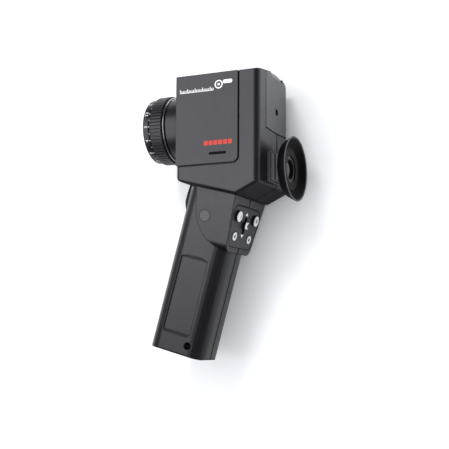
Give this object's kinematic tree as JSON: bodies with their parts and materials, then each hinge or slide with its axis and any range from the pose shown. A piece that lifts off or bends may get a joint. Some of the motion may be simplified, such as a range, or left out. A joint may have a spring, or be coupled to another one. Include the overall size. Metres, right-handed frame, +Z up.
{
  "type": "spot light meter",
  "caption": "Pistol-grip spot light meter with a focusing lens, through-the-lens eyepiece, side display, trigger, keypad and rear battery door.",
  "frame": {"origin": "lens axis at the lens's front rim", "axes": "-Y out of the lens towards the subject, +Y towards the user's eye, +Z up, +X towards the meter's left-hand side"},
  "size_m": [0.0629, 0.1126, 0.2072],
  "materials": {
    "case": "satin moulded",
    "panel": "satin moulded",
    "black_metal": "black anodised",
    "rib_rubber": "ribbed",
    "bright_trim": "polished black",
    "optic": "coated",
    "mirror_glass": "silvered",
    "eyecup_rubber": "soft",
    "black_plastic": "fine grain",
    "window_plastic": "clear smoked",
    "display_glass": "liquid crystal",
    "circuit_board": "solder mask",
    "key_dark": "moulded",
    "silicone": "moulded",
    "steel": "zinc plated",
    "insert_brass": "machined",
    "cell_sleeve": "gloss sleeve",
    "contact_metal": "nickel plated"
  },
  "bodies": {
    "case": {"shell_left": "case", "shell_right": "case", "side_panel": "panel", "battery_tray": "black_plastic", "battery_cells": "cell_sleeve", "battery_contacts": "contact_metal", "lens_barrel": "black_metal", "trim_ring": "bright_trim", "barrel_nut": "black_metal", "optics_housing": "black_plastic", "beam_splitter": "optic", "focusing_screen": "optic", "finder_mirror": "mirror_glass", "light_sensor": "circuit_board", "eyepiece_block": "black_plastic", "main_board": "circuit_board", "display_module": "display_glass", "display_window": "window_plastic", "key_plate": "key_dark", "select_switch": "steel", "key_mat": "silicone", "key_board": "circuit_board", "trigger_pin": "steel", "trigger_switch": "black_plastic", "screw_plug": "panel", "tripod_insert": "insert_brass", "case_screws": "steel"},
    "door": {"battery_door": "case"},
    "focus": {"focus_ring": "rib_rubber", "scale_ring": "black_metal"},
    "lens": {"lens_cell": "black_metal", "front_element": "optic", "rear_element": "optic", "front_retainer": "black_metal"},
    "dioptre": {"dioptre_ring": "black_plastic", "eyecup": "eyecup_rubber"},
    "ocular": {"ocular_cell": "black_metal", "ocular_lens": "optic"},
    "button_upper_left": {"key_upper_left": "key_dark"},
    "button_upper_right": {"key_upper_right": "key_dark"},
    "button_lower_left": {"key_lower_left": "key_dark"},
    "button_lower_right": {"key_lower_right": "key_dark"},
    "selector": {"select_knob": "key_dark"},
    "trigger_lever": {"trigger": "black_plastic"}
  },
  "joints": [
    {"name": "door_hinge", "type": "hinge", "parent": "case", "child": "door", "pos_m": [0, 0.0961, -0.00555], "axis": [-1, 0, 0], "range_deg": [0, 85]},
    {"name": "focus_turn", "type": "hinge", "parent": "case", "child": "focus", "pos_m": [0, 0.011, 0], "axis": [0, -1, 0], "range_deg": [0, 270]},
    {"name": "focus_slide", "type": "slide", "parent": "case", "child": "lens", "axis": [0, -1, 0], "range_m": [0, 0.0079]},
    {"name": "dioptre_turn", "type": "hinge", "parent": "case", "child": "dioptre", "pos_m": [0, 0.1065, -0.03635], "axis": [0, 1, 0], "range_deg": [-60, 60]},
    {"name": "dioptre_slide", "type": "slide", "parent": "case", "child": "ocular", "axis": [0, 1, 0], "range_m": [-0.0015, 0.0015]},
    {"name": "selector_slide", "type": "slide", "parent": "case", "child": "selector", "axis": [0, 0.2639, 0.9646], "range_m": [-0.0032, 0.0032]},
    {"name": "trigger_pull", "type": "hinge", "parent": "case", "child": "trigger_lever", "pos_m": [0, 0.0378, -0.05396], "axis": [1, 0, 0], "range_deg": [0, 7], "stiffness_Nm_per_rad": 0.15},
    {"name": "button_upper_left_press", "type": "slide", "parent": "case", "child": "button_upper_left", "axis": [0, -0.9646, 0.2639], "range_m": [0, 0.0008], "stiffness_N_per_m": 100},
    {"name": "button_upper_right_press", "type": "slide", "parent": "case", "child": "button_upper_right", "axis": [0, -0.9646, 0.2639], "range_m": [0, 0.0008], "stiffness_N_per_m": 100},
    {"name": "button_lower_left_press", "type": "slide", "parent": "case", "child": "button_lower_left", "axis": [0, -0.9646, 0.2639], "range_m": [0, 0.0008], "stiffness_N_per_m": 100},
    {"name": "button_lower_right_press", "type": "slide", "parent": "case", "child": "button_lower_right", "axis": [0, -0.9646, 0.2639], "range_m": [0, 0.0008], "stiffness_N_per_m": 100}
  ],
  "couplings": [
    {"joint": "focus_turn", "follows": "focus_slide", "rad_per_m": 596.5},
    {"joint": "dioptre_turn", "follows": "dioptre_slide", "rad_per_m": 698.1}
  ]
}
